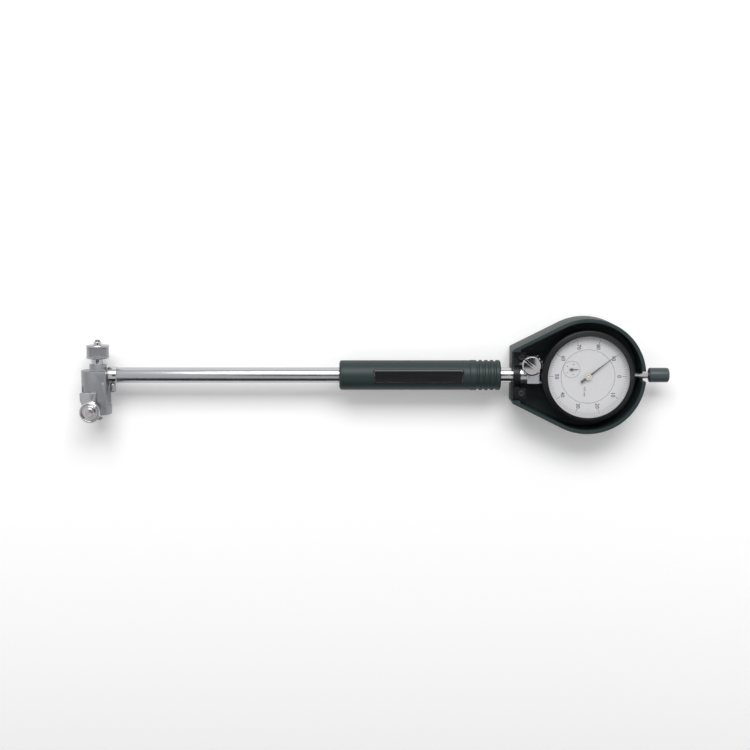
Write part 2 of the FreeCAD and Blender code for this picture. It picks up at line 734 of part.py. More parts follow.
def stem():
    """Stem with the spindle's lower guide bore; its flange sits inside the case."""
    inner = case_radius - case_wall
    bore = spindle_radius + run_fit
    start = -inner + 1.4
    return turned_x([(start, bore), (start, stem_radius), (-stem_reach + 0.5, stem_radius),
                     (-stem_reach, stem_radius - 0.5), (-stem_reach, bore)])


def top_bush():
    """Short bush in the case's top wall, where the spindle leaves."""
    bore = spindle_radius + run_fit
    start = case_radius - case_wall - 1.4
    return turned_x([(start, bore), (start, upper_bush_radius), (upper_bush_reach - 0.4, upper_bush_radius),
                     (upper_bush_reach, upper_bush_radius - 0.4), (upper_bush_reach, bore)])


def spindle():
    """Spindle with its rack strip, from the contact point's seat to the lifting knob."""
    top = knob_start + knob_length - 3.0
    body = turned_x([(-spindle_out, 0), (-spindle_out, spindle_radius - 0.3),
                     (-spindle_out + 0.3, spindle_radius), (top - 0.3, spindle_radius),
                     (top, spindle_radius - 0.3), (top, 0)])
    pitch = math.pi * rack_module
    line = counter_y - rack_module * pinion_teeth / 2
    root = line - rack_module
    slope = math.tan(math.radians(20))
    start = counter_x - pitch * (rack_teeth - 2.5)
    points = [(start, root - rack_back), (start, root)]
    for tooth in range(rack_teeth):
        middle = start + pitch * (tooth + 0.5)
        for height, side in ((-1.0, -1), (0.7, -1), (0.7, 1), (-1.0, 1)):
            half = pitch * 0.4 / 2 - height * rack_module * slope
            points.append((middle + side * half, line + height * rack_module))
    end = start + pitch * rack_teeth
    points += [(end, root), (end, root - rack_back)]
    rack = prism(points, axis_z - rack_width / 2, axis_z + rack_width / 2)
    return body.fuse(rack).removeSplitter()


def spindle_point():
    """Contact point screwed into the spindle: a cylinder, a cone and a ball."""
    base = -spindle_out - point_base_length
    ball_x = base - point_neck
    point = turned_x([(-spindle_out, 0), (-spindle_out, point_base_radius - 0.3),
                      (-spindle_out - 0.3, point_base_radius), (base, point_base_radius),
                      (ball_x, 1.0), (ball_x, 0)])
    return point.fuse(Part.makeSphere(point_ball, vec(ball_x, 0, axis_z))).removeSplitter()


def lifting_knob():
    """Knob on the spindle's upper end, bored from below."""
    top = knob_start + knob_length
    return turned_x([(knob_start, spindle_radius + seat_fit), (knob_start, knob_radius - 0.5),
                     (knob_start + 0.5, knob_radius), (top - 0.8, knob_radius), (top, knob_radius - 0.8),
                     (top, 0), (top - 3.0 + seat_fit, 0), (top - 3.0 + seat_fit, spindle_radius + seat_fit)])


def bezel():
    """Knurled bezel that turns the scale ring; it runs on the case and holds the crystal."""
    z0 = axis_z + bezel_start
    z1 = z0 + bezel_height
    seat = dial_z - dial_gap / 2
    bore = case_radius - window_seat_edge
    count = 2 * bezel_grooves
    outline = []
    for step in range(count):
        radius = bezel_radius - bezel_groove * (step % 2)
        angle = 2 * math.pi * step / count
        outline.append((radius * math.cos(angle), radius * math.sin(angle)))
    body = prism(outline, z0, z1)
    cone = turned_z([(0, z0), (bezel_radius + 1, z0), (bezel_radius + 1, z1 - 2.6), (bezel_radius - 2.6, z1),
                     (0, z1)])
    body = body.common(cone)
    body = body.cut(rod_along_z(bezel_window, z0 - 1, z1 + 1))
    body = body.cut(rod_along_z(bore, z0 - 1, z1 - bezel_lip))
    return body.cut(rod_along_z(case_radius + run_fit, z0 - 1, seat))


def crystal():
    """Window held under the bezel's lip: a disc with a shallow spherical dome."""
    top = axis_z + bezel_start + bezel_height - bezel_lip
    edge = ring_outer
    rise = bezel_window - 0.4
    ball = (rise**2 + crystal_dome**2) / (2 * crystal_dome)
    dome = Part.makeSphere(ball, vec(0, 0, top + crystal_dome - ball))
    dome = dome.common(rod_along_z(rise, top - crystal_thickness / 2, top + 2 * crystal_dome))
    return rod_along_z(edge, top - crystal_thickness, top).fuse(dome).removeSplitter()


def dial_ring():
    """Outer scale, turned by the bezel."""
    edge = ring_outer
    return turned_z([(ring_inner, dial_z), (edge, dial_z), (edge, dial_z + dial_thickness),
                     (ring_inner, dial_z + dial_thickness)])


def dial_disc():
    """Fixed inner scale on three pillars of the movement."""
    disc = rod_along_z(disc_radius, dial_z, dial_z + dial_thickness)
    disc = disc.cut(rod_along_z(arbor_radius + 0.5, dial_z - 1, dial_z + 1))
    return disc.cut(rod_along_z(arbor_radius + 0.3, dial_z - 1, dial_z + 1, counter_x, counter_y))


def pillar_places(radius=post_circle):
    return [(radius * math.cos(math.radians(a)), radius * math.sin(math.radians(a))) for a in (75, 180 + 75, 320)]


def rear_movement_plate():
    z1 = axis_z - rear_plate
    plate = rod_along_z(plate_radius, z1 - plate_height, z1)
    return plate.cut(rod_along_z(arbor_radius + run_fit, z1 - 3, z1 + 1, counter_x, counter_y))


def middle_movement_plate():
    z0 = axis_z + middle_plate
    plate = rod_along_z(plate_radius, z0, z0 + plate_height)
    plate = plate.cut(rod_along_z(arbor_radius + run_fit, z0 - 1, z0 + 2, counter_x, counter_y))
    return plate.cut(rod_along_z(arbor_radius + run_fit, z0 + 0.2, z0 + 2))


def front_movement_plate():
    z0 = axis_z + front_plate
    plate = rod_along_z(plate_radius, z0, z0 + plate_height)
    plate = plate.cut(rod_along_z(arbor_radius + run_fit, z0 - 1, z0 + 2, counter_x, counter_y))
    return plate.cut(rod_along_z(arbor_radius + run_fit, z0 - 1, z0 + 2))


def movement_pillars():
    """Pillars that space the movement's plates, reach back to the cover and carry the dial."""
    spans = ((case_back_z + cover_thickness + 0.6, axis_z - rear_plate - plate_height),
             (axis_z - rear_plate, axis_z + middle_plate),
             (axis_z + middle_plate + plate_height, axis_z + front_plate),
             (axis_z + front_plate + plate_height, dial_z))
    pillars = []
    for z0, z1 in spans:
        radius = post_circle if z1 < dial_z else disc_radius - 2.0
        for x, y in pillar_places(radius):
            pillars.append(rod_along_z(post_radius, z0, z1, x, y))
    return Part.makeCompound(pillars)


def gear_ring(teeth, module, phase, x, y, z0, z1):
    return prism(gear_outline(teeth, module, phase, x, y), z0, z1)


def counter_arbor():
    """Rack pinion, large wheel and arbor, cut as one turning piece."""
    rear = axis_z - rear_plate
    wheel_z = axis_z + middle_plate + plate_height + 0.2
    top = dial_z + dial_thickness + 0.7
    pitch = math.pi * rack_module
    start = counter_x - pitch * (rack_teeth - 2.5)
    # a gap of the rack lies at start + whole pitches, and the pinion's lower tooth points into it
    offset = (counter_x - start) / pitch
    shift = (round(offset) - offset) * pitch
    lower_tooth = -math.pi / 2 + shift / (rack_module * pinion_teeth / 2)
    arbor = rod_along_z(arbor_radius, rear - plate_height, top, counter_x, counter_y)
    pinion = gear_ring(pinion_teeth, rack_module, lower_tooth, counter_x, counter_y,
                       axis_z - pinion_width / 2, axis_z + pinion_width / 2)
    to_centre = math.atan2(-counter_y, -counter_x)
    wheel = gear_ring(wheel_teeth, train_module, to_centre, counter_x, counter_y, wheel_z, wheel_z + gear_width)
    return arbor.fuse(pinion).fuse(wheel).removeSplitter()


def centre_arbor():
    """Ten-leaf pinion and arbor of the main hand."""
    base = axis_z + middle_plate + 0.2
    wheel_z = axis_z + middle_plate + plate_height + 0.1
    top = dial_z + dial_thickness + 1.6
    to_wheel = math.atan2(counter_y, counter_x)
    pinion = gear_ring(centre_teeth, train_module, to_wheel + math.pi / centre_teeth, 0, 0,
                       wheel_z, wheel_z + gear_width + 0.2)
    return rod_along_z(arbor_radius, base, top).fuse(pinion).removeSplitter()


def hand(length, tail, width, hub, z0, angle, x, y):
    """Pointer with a tapered blade, a tail and a hub."""
    half = width / 2
    blade = prism([(-tail, -half), (-tail, half), (0, half * 0.8), (length, 0.08), (length, -0.08),
                   (0, -half * 0.8)], z0, z0 + hand_thickness)
    blade = blade.fuse(rod_along_z(hub, z0 - 0.15, z0 + hand_thickness + 0.35))
    blade = blade.cut(rod_along_z(arbor_radius + seat_fit, z0 - 1, z0 + hand_thickness + 0.15))
    blade.Placement = FreeCAD.Placement(vec(x, y, 0), FreeCAD.Rotation(Z, angle))
    return blade.removeSplitter()


def main_hand():
    return hand(main_hand_length, main_hand_tail, main_hand_width, main_hub_radius,
                dial_z + dial_thickness + 1.46, main_hand_angle, 0, 0)


def counter_hand():
    return hand(counter_hand_length, 1.4, 0.9, counter_hub_radius,
                dial_z + dial_thickness + 0.56, 0, counter_x, counter_y)


# ---- Guard ----------------------------------------------------------------------------------

def cup_face(radius, foot_x, foot_half, z):
    """Outline of the guard: a circle whose tangents run to the two corners of the foot."""
    corner = math.atan2(foot_half, -foot_x)
    reach = math.hypot(foot_x, foot_half)
    angle = corner - math.acos(radius / reach)
    touch = vec(radius * math.cos(angle), radius * math.sin(angle), z)
    mirror = vec(touch.x, -touch.y, z)
    a = vec(-foot_x, foot_half, z)
    b = vec(-foot_x, -foot_half, z)
    return Part.Face(Part.Wire([
        Part.LineSegment(b, a).toShape(), Part.LineSegment(a, touch).toShape(),
        Part.Arc(touch, vec(radius, 0, z), mirror).toShape(), Part.LineSegment(mirror, b).toShape()]))


def guard_shell():
    """Moulded cup round the indicator; its foot is the lower half of the strap's seat."""
    rim_z = axis_z + guard_rise
    cup = cup_face(guard_radius, guard_foot, guard_foot_half, 0).extrude(vec(0, 0, rim_z))
    rounded = [edge for edge in cup.Edges if edge.BoundBox.ZMax < 0.01]
    cup = cup.makeChamfer(0.8, rounded)
    inner = cup_face(guard_radius - guard_wall, guard_foot, guard_foot_half - guard_wall, guard_floor)
    hollow = inner.extrude(vec(0, 0, rim_z)).cut(
        block(-guard_foot - 1, -guard_foot + foot_wall, -40, 40, -1, rim_z + 20))
    cup = cup.cut(hollow)
    bosses = None
    for side in (-1, 1):
        boss = rod_along_z(foot_boss_radius, guard_floor - 0.5, axis_z, -foot_boss_x, side * foot_boss_y)
        bosses = boss if bosses is None else bosses.fuse(boss)
    cup = cup.fuse(bosses)
    cup = cup.cut(block(-guard_foot - 1, -foot_boss_x + strap_ear_width / 2, -strap_half, strap_half,
                        axis_z, rim_z + 1))
    cup = cup.cut(rod_along_x(sleeve_radius + seat_fit, -guard_foot - 1, -guard_foot + foot_wall + 1))
    cup = cup.cut(block(-guard_foot + foot_wall, -slot_start, -slot_half, slot_half, -1, guard_floor + 1))
    cup = cup.cut(rod_along_z(slot_half, -1, guard_floor + 1, -slot_start))
    cup = cup.cut(rod_along_x(rim_hole, 0, guard_radius + 1))
    cup = cup.cut(block(0, guard_radius + 1, -rim_hole, rim_hole, axis_z, rim_z + 1))
    for side in (-1, 1):
        cup = cup.cut(rod_along_z(strap_shank_radius + seat_fit, axis_z - 7, axis_z + 1,
                                  -foot_boss_x, side * foot_boss_y))
    return cup.removeSplitter()


def guard_strap():
    """Bar with a bulge over the sleeve, screwed down on the foot."""
    x0 = -guard_foot + 0.5
    x1 = x0 + strap_width
    strap = block(x0, x1, -strap_half + 0.3, strap_half - 0.3, axis_z, axis_z + strap_thickness)
    for side in (-1, 1):
        ear = block(x0, ear_x0 - 0.4, side * foot_boss_y - 3.2,
                    side * foot_boss_y + 3.2, axis_z, axis_z + strap_thickness)
        strap = strap.fuse(ear)
    strap = strap.fuse(rod_along_x(strap_bulge, x0, x1).common(
        block(x0, x1, -20, 20, axis_z, axis_z + 20)))
    strap = strap.cut(rod_along_x(sleeve_radius + seat_fit, x0 - 1, x1 + 1))
    for side in (-1, 1):
        strap = strap.cut(rod_along_z(strap_shank_radius + seat_fit, axis_z - 1, axis_z + 9,
                                      -foot_boss_x, side * foot_boss_y))
    return strap.removeSplitter()


def strap_screws():
    """Two pan-head screws with a cross of slots."""
    screws = []
    for side in (-1, 1):
        z0 = axis_z + strap_thickness
        top = z0 + strap_screw_head
        y = side * foot_boss_y
        screw = turned_z([(0, axis_z - 5.5), (strap_shank_radius, axis_z - 5.5), (strap_shank_radius, z0),
                          (strap_screw_radius, z0), (strap_screw_radius, top - 0.4),
                          (strap_screw_radius - 0.5, top), (0, top)], -foot_boss_x, y)
        screw = screw.cut(block(-foot_boss_x - 1.2, -foot_boss_x + 1.2, y - 0.25, y + 0.25, top - 0.6, top + 1))
        screw = screw.cut(block(-foot_boss_x - 0.25, -foot_boss_x + 0.25, y - 1.2, y + 1.2, top - 0.6, top + 1))
        screws.append(screw)
    return Part.makeCompound(screws)


nodes = {
    "head_body": head_body(),
    "collet": collet(),
    "collet_nut": collet_nut(),
    "anvil": anvil(),
    "anvil_tip": anvil_tip(),
    "contact_plunger": contact_plunger(),
    "contact_tip": contact_tip(),
    "bell_crank": bell_crank(),
    "crank_pin": crank_pin(),
    "guide_yoke": guide_yoke(),
    "guide_springs": guide_springs(),
    "guide_roller_front": guide_roller(0),
    "guide_roller_rear": guide_roller(1),
    "roller_screw_front": roller_screw(0),
    "roller_screw_rear": roller_screw(1),
    "neck_ferrule": neck_ferrule(),
    "lock_screw": lock_screw(),
    "main_tube": main_tube(),
    "tube_pin": tube_pin(),
    "rod_bush_lower": lower_bush(),
    "rod_bush_upper": upper_bush(),
    "push_rod": push_rod(),
    "rod_spring": rod_spring(),
    "grip_sleeve": grip_sleeve(),
    "label_plate": label_plate(),
    "ribbed_end": ribbed_end(),
    "neck_sleeve": neck_sleeve(),
    "clamp_collar": clamp_collar(),
    "clamp_screw": clamp_screw(),
    "clamp_nut": clamp_nut(),
    "indicator_case": indicator_case(),
    "back_cover": back_cover(),
    "cover_screws": cover_screws(),
    "stem": stem(),
    "top_bush": top_bush(),
    "spindle": spindle(),
    "spindle_point": spindle_point(),
    "lifting_knob": lifting_knob(),
    "bezel": bezel(),
    "crystal": crystal(),
    "dial_ring": dial_ring(),
    "dial_disc": dial_disc(),
    "rear_plate": rear_movement_plate(),
    "middle_plate": middle_movement_plate(),
    "front_plate": front_movement_plate(),
    "movement_pillars": movement_pillars(),
    "counter_arbor": counter_arbor(),
    "centre_arbor": centre_arbor(),
    "main_hand": main_hand(),
    "counter_hand": counter_hand(),
    "guard_shell": guard_shell(),
    "guard_strap": guard_strap(),
    "strap_screws": strap_screws(),
}

os.makedirs("parts", exist_ok=True)
for name, shape in nodes.items():
    shape.exportStep(f"parts/{name}.step")
    print(f"{name}: {len(shape.Solids)} solids, {shape.Volume:.1f} mm3, valid {shape.isValid()}")
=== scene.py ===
# %% [markdown]
# # Dressing a dial bore gauge
# A bore gauge is a long steel shaft with a measuring head at one end and a dial indicator in a
# moulded guard at the other. The solids of every piece are already made and carry the motion. Here
# each visible piece gets its real edges, knurls and finish. Everything is in metres, in the solids'
# own frame, so nothing is placed by eye: sizes are read from the solids' boxes.

# %% Load the solids
import json
import math
import bmesh
import bpy
from mathutils import Matrix, Vector

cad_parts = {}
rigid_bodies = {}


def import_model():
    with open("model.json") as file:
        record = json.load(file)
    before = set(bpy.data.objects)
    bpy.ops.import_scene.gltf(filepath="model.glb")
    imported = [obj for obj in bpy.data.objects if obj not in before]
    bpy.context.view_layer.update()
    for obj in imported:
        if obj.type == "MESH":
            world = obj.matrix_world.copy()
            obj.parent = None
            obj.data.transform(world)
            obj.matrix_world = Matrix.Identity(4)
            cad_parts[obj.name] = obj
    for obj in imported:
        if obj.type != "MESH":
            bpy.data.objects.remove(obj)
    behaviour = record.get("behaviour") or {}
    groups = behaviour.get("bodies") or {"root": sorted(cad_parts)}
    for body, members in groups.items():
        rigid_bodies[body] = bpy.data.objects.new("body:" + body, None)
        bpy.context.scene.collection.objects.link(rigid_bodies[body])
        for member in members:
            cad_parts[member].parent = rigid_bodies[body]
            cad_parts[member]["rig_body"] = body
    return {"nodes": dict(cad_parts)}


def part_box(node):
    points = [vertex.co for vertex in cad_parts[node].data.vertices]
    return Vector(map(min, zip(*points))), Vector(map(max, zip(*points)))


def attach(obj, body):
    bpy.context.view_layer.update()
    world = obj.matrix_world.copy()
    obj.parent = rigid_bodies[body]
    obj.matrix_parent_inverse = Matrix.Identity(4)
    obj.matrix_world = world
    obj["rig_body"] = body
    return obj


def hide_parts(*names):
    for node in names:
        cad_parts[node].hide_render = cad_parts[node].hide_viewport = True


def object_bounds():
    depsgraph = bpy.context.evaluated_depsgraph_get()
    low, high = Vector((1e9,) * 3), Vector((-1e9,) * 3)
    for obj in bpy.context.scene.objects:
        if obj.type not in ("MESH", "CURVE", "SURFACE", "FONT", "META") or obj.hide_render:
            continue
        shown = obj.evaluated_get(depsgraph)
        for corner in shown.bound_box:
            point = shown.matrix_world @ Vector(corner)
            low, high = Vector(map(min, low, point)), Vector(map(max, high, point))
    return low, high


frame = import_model()
solid_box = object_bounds()
nodes = frame["nodes"]

# %% [markdown]
# ## Units and places
# A maker thinks in millimetres, Blender in metres, so one constant turns one into the other. The
# gauge's main places all come from boxes of solids: the shaft's axis from the tube, the measuring
# line from the anvil, and the dial's plane from the dial itself.

# %% Units and main places
MM = 0.001
X, Y, Z = Vector((1, 0, 0)), Vector((0, 1, 0)), Vector((0, 0, 1))


def low(node):
    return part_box(node)[0]


def high(node):
    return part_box(node)[1]


def middle(node):
    return (low(node) + high(node)) / 2


def owner(node):
    return nodes[node]["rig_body"]


axis_z = middle("main_tube").z
head_x = middle("anvil").x
dial_top = high("dial_disc").z
print("shaft axis at z =", round(axis_z / MM, 2), "mm, measuring line at x =",
      round(head_x / MM, 2), "mm")

# %% [markdown]
# ## Colours
# Colours are written as the sRGB hex values that a colour picker shows. Shaders work in linear
# light, so one function turns hex to linear.

# %% Colour and node helpers
def linear(hex_colour):
    parts = [int(hex_colour[i:i + 2], 16) / 255 for i in (1, 3, 5)]
    curve = [c / 12.92 if c <= 0.04045 else ((c + 0.055) / 1.055) ** 2.4 for c in parts]
    return (*curve, 1.0)


def add(tree, kind, settings=None, links=None):
    """Adds one node, sets its sockets or properties, and links its inputs."""
    node = tree.nodes.new(kind)
    for key, value in (settings or {}).items():
        if isinstance(key, int) or key in node.inputs:
            node.inputs[key].default_value = value
        else:
            setattr(node, key, value)
    for key, source in (links or {}).items():
        tree.links.new(source, node.inputs[key])
    return node


def finish_of(name, colour, metallic, roughness, **sockets):
    """A material with one Principled shader; returns it with its tree and shader."""
    material = bpy.data.materials.new(name)
    material.use_nodes = True
    tree = material.node_tree
    shader = tree.nodes["Principled BSDF"]
    shader.inputs["Base Color"].default_value = linear(colour)
    shader.inputs["Metallic"].default_value = metallic
    shader.inputs["Roughness"].default_value = roughness
    for key, value in sockets.items():
        shader.inputs[key.replace("_", " ")].default_value = value
    material.diffuse_color = linear(colour)
    return material, tree, shader


def grain(tree, size_mm, stretch=(1, 1, 1), detail=3.0):
    """Noise on Object coordinates whose blobs are size_mm wide, stretched along some axes."""
    place = add(tree, "ShaderNodeTexCoord").outputs["Object"]
    turn = add(tree, "ShaderNodeMapping", {"Scale": stretch}, {"Vector": place})
    return add(tree, "ShaderNodeTexNoise", {"Scale": 1 / (size_mm * MM), "Detail": detail},
               {"Vector": turn.outputs["Vector"]}).outputs["Fac"]


def rough_between(tree, shader, fac, smooth, rough):
    """Roughness from smooth to rough, over the values that the noise mostly has."""
    limits = {"To Min": smooth, "To Max": rough, "From Min": 0.3, "From Max": 0.7}
    span = add(tree, "ShaderNodeMapRange", limits, {"Value": fac})
    tree.links.new(span.outputs["Result"], shader.inputs["Roughness"])


def raise_by(tree, shader, fac, height_mm, strength):
    bump = add(tree, "ShaderNodeBump", {"Strength": strength, "Distance": height_mm * MM},
               {"Height": fac})
    tree.links.new(bump.outputs["Normal"], shader.inputs["Normal"])


def tint_between(tree, shader, fac, dark, light):
    """Colour from dark to light; the mix node's sockets for colours are found by number."""
    first, second, mixed = 6, 7, 2
    blend = add(tree, "ShaderNodeMix", {"data_type": "RGBA"}, {"Factor": fac})
    blend.inputs[first].default_value = linear(dark)
    blend.inputs[second].default_value = linear(light)
    tree.links.new(blend.outputs[mixed], shader.inputs["Base Color"])


# %% [markdown]
# ## Metals
# Nearly every metal piece is hard chromed steel. What tells them apart is how the surface was left:
# the tube is satin from fine turning, the nut is knurled, the ferrule, sleeve and screws are
# polished, and the head is matt from bead blasting. Turning marks run round the shaft, so their noise is fine along
# the shaft and smeared across it.

# %% Metal finishes
def satin_chromed_steel():
    material, tree, shader = finish_of("satin_chromed_steel", "#c6c7cb", 1.0, 0.27)
    turning = grain(tree, 0.2, (1.0, 0.02, 0.02))
    rough_between(tree, shader, turning, 0.235, 0.265)
    return material


def polished_steel():
    material, tree, shader = finish_of("polished_steel", "#d2d0d2", 1.0, 0.12)
    rough_between(tree, shader, grain(tree, 1.5), 0.09, 0.17)
    return material


def blasted_nickel():
    material, tree, shader = finish_of("bead_blasted_nickel", "#a3a4a8", 1.0, 0.42)
    beads = grain(tree, 0.18, detail=2.0)
    rough_between(tree, shader, beads, 0.38, 0.48)
    raise_by(tree, shader, beads, 0.01, 0.5)
    return material


def knurled_steel():
    material, tree, shader = finish_of("knurled_steel", "#b9babd", 1.0, 0.3)
    rough_between(tree, shader, grain(tree, 0.4), 0.24, 0.36)
    return material


def carbide():
    material, tree, shader = finish_of("lapped_carbide", "#8f9094", 1.0, 0.1)
    rough_between(tree, shader, grain(tree, 0.8), 0.07, 0.14)
    return material


def rolled_brass():
    material, tree, shader = finish_of("rolled_brass", "#b59a5c", 1.0, 0.3)
    rough_between(tree, shader, grain(tree, 0.6, (0.05, 1, 1)), 0.24, 0.36)
    return material


metals = {
    "satin": satin_chromed_steel(), "polished": polished_steel(), "blasted": blasted_nickel(),
    "knurled": knurled_steel(), "carbide": carbide(), "brass": rolled_brass()}
print("metals:", [material.name for material in metals.values()])

# %% [markdown]
# ## Plastics, enamel and glass
# The grip and guard are moulded ABS in a dark green grey, with the fine matt texture of a spark
# eroded mould: it breaks a highlight into a soft sheen. The bezel and strap are black, the lifting
# knob a lighter grey. The dial is matt white enamel under a clear acrylic window.

# %% Other finishes
def moulded_abs(name, dark, light, roughness):
    material, tree, shader = finish_of(name, light, 0.0, roughness, Specular_IOR_Level=0.35)
    spark = grain(tree, 0.35, detail=4.0)
    tint_between(tree, shader, spark, dark, light)
    rough_between(tree, shader, spark, roughness - 0.05, roughness + 0.06)
    raise_by(tree, shader, spark, 0.03, 0.5)
    return material


def enamel(name, colour):
    material, tree, shader = finish_of(name, colour, 0.0, 0.5)
    raise_by(tree, shader, grain(tree, 0.3), 0.004, 0.3)
    return material


def acrylic_window():
    return finish_of("acrylic_window", "#ffffff", 0.0, 0.03, Alpha=0.06, IOR=1.49)[0]


def bare_label():
    material, tree, shader = finish_of("etched_black_label", "#15161a", 0.4, 0.35)
    rough_between(tree, shader, grain(tree, 0.5, (0.03, 1, 1)), 0.3, 0.42)
    return material


green_abs = moulded_abs("moulded_abs_green_grey", "#232e2f", "#2b3838", 0.45)
black_abs = moulded_abs("moulded_abs_black", "#0a0b0d", "#101114", 0.4)
grey_abs = moulded_abs("moulded_abs_grey", "#3b4346", "#465053", 0.34)
white_enamel = enamel("white_dial_enamel", "#cfcfd3")
ink = enamel("dial_ink", "#26282d")
black_lacquer = enamel("black_hand_lacquer", "#1d1e22")
ivory = enamel("ivory_hub_cap", "#d9d3c4")
window = acrylic_window()
label_black = bare_label()
print("other finishes:", green_abs.name, black_abs.name, white_enamel.name, window.name)

# %% [markdown]
# ## Two ways to make a piece
# Most pieces came off a lathe, and a few round ones are made the same way here: a few profile
# vertices are spun round the piece's axis, and the sharp edges get the small bevel that every real
# edge has. The other pieces, milled, moulded or turned, start from a merged copy of their own solid,
# whose flat faces are joined first so that the same bevel runs cleanly round them.

# %% Helpers for pieces
SHARP = math.radians(28)     # edges sharper than this get a bevel
SMOOTH = math.radians(35)    # faces that meet within this are shaded as one
FLAT = math.radians(0.6)     # faces that meet within this are joined into one
WELD = 1e-6                  # vertices closer than this, in metres, become one


def place_piece(mesh_data, name, material, body, stands_for=()):
    """Puts a finished mesh in the scene, smooth except over sharp edges, riding on its body."""
    mesh = bpy.data.meshes.new(name)
    mesh_data.to_mesh(mesh)
    mesh_data.free()
    mesh.materials.append(material)
    mesh.shade_smooth()
    mesh.set_sharp_from_angle(angle=SMOOTH)
    piece = bpy.data.objects.new(name, mesh)
    bpy.context.scene.collection.objects.link(piece)
    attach(piece, body)
    if stands_for:
        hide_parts(*stands_for)
    return piece


def bevel_sharp(mesh_data, size_mm, segments=2, limit=SHARP):
    edges = [e for e in mesh_data.edges
             if len(e.link_faces) == 2 and e.calc_face_angle(0) > limit]
    if edges:
        bmesh.ops.bevel(mesh_data, geom=edges, offset=size_mm * MM, offset_type="OFFSET",
                        affect="EDGES", segments=segments, profile=0.5, material=-1,
                        clamp_overlap=True)


def spun(profile, axis, origin, steps=96):
    """A bmesh turned round an axis through origin, from (mm along the axis, mm radius) points."""
    data = bmesh.new()
    side = Z.cross(axis) if abs(axis.z) < 0.5 else X
    points = [data.verts.new(origin + axis * along * MM + side * radius * MM)
              for along, radius in profile]
    for first, second in zip(points, points[1:]):
        data.edges.new((first, second))
    if profile[0][1] > 0 and profile[-1][1] > 0:
        data.edges.new((points[-1], points[0]))
    bmesh.ops.spin(data, geom=data.verts[:] + data.edges[:], cent=origin, axis=axis, angle=math.tau,
                   steps=steps, use_merge=True)
    bmesh.ops.remove_doubles(data, verts=data.verts[:], dist=WELD)
    bmesh.ops.recalc_face_normals(data, faces=data.faces[:])
    return data


def turned(name, node, profile, axis, origin, material, bevel):
    data = spun(profile, axis, origin)
    bevel_sharp(data, bevel)
    return place_piece(data, name, material, owner(node), (node,))


def merged_copy(node):
    """A bmesh copy of a solid with its corners merged and its flat faces joined."""
    data = bmesh.new()
    data.from_mesh(nodes[node].data)
    bmesh.ops.remove_doubles(data, verts=data.verts[:], dist=WELD)
    bmesh.ops.dissolve_limit(data, angle_limit=FLAT, verts=data.verts[:], edges=data.edges[:])
    return data


def refined(name, node, material, bevel=0.15, segments=2):
    data = merged_copy(node)
    bevel_sharp(data, bevel, segments)
    return place_piece(data, name, material, owner(node), (node,))


def finish_solid(node, material):
    """A solid whose form is right as it is only gets its finish."""
    nodes[node].data.materials.clear()
    nodes[node].data.materials.append(material)


print("helpers ready")

# %% [markdown]
# ## The shaft
# The tube is drawn steel, ground and chromed. On the lathe its ends get a hairline chamfer, and a
# dowel shows as a small dot on its front. The ferrule between tube and head is polished, so it reads
# as a bright band.

# %% Tube, dowel and ferrule
axis_start = Vector((0, 0, axis_z))


def along_x(node, radius_mm):
    """Profile of a plain cylinder on the shaft's axis, from the solid's own ends."""
    start, end = low(node).x / MM, high(node).x / MM
    return [(start, 0), (start, radius_mm), (end, radius_mm), (end, 0)]


def half_height(node):
    return (high(node).z - low(node).z) / 2 / MM


tube_radius = half_height("main_tube")
turned("tube", "main_tube", along_x("main_tube", tube_radius), X, axis_start, metals["satin"], 0.2)
refined("dowel_dot", "tube_pin", metals["polished"], 0.1)
refined("ferrule", "neck_ferrule", metals["polished"], 0.1)
print("tube diameter", round(2 * tube_radius, 2), "mm")

# %% [markdown]
# ## The grip
# The grip is one moulding with soft ends, then a ribbed end piece that a thumb can turn the gauge by.
# A flat pocket on the front holds the label plate, which is left bare here: a black plate with a
# thin bright border. The border is a real raised line, made by two insets of the plate's top face.

# %% Grip, ribbed end and label plate
refined("grip", "grip_sleeve", green_abs, 0.25, 3)
refined("grip_ribs", "ribbed_end", green_abs, 0.15)

label_low, label_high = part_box("label_plate")


def label_face():
    """The plate, with a border line set in from its edge by two insets."""
    margin, line, recess = 0.35, 0.3, 0.08
    data = merged_copy("label_plate")
    data.faces.ensure_lookup_table()
    top = max((f for f in data.faces if f.normal.z > 0.9), key=lambda f: f.calc_area())
    bmesh.ops.inset_region(data, faces=[top], thickness=margin * MM, use_even_offset=True)
    border = bmesh.ops.inset_region(data, faces=[top], thickness=line * MM, use_even_offset=True)
    bmesh.ops.translate(data, vec=Z * -recess * MM, verts=top.verts)
    for face in border["faces"]:
        face.material_index = 1
    return data


label = place_piece(label_face(), "label", label_black, owner("label_plate"), ("label_plate",))
label.data.materials.append(metals["polished"])
print("label plate", [round(v / MM, 1) for v in label_high - label_low], "mm")

# %% [markdown]
# ## The indicator's seat
# The indicator's stem goes into a slit sleeve, and a split block squeezes the sleeve shut when its
# big slotted screw is turned. Sleeve, stem and screw are polished, the block is satin and its nut
# has the knurl's finish.

# %% Sleeve, clamp and its screw
refined("sleeve", "neck_sleeve", metals["polished"], 0.1)
refined("clamp_block", "clamp_collar", metals["satin"], 0.3, 3)
refined("thumb_screw", "clamp_screw", metals["polished"], 0.2)
refined("thumb_nut", "clamp_nut", metals["knurled"], 0.15)
refined("indicator_stem", "stem", metals["polished"], 0.1)

# %% [markdown]
# ## The measuring head
# The head's body is milled and bead blasted. The nut that closes the collet is knurled: a knurling
# wheel presses rows of little pyramids into the steel. Poking each face of a grid lifts its centre
# into just such a pyramid.

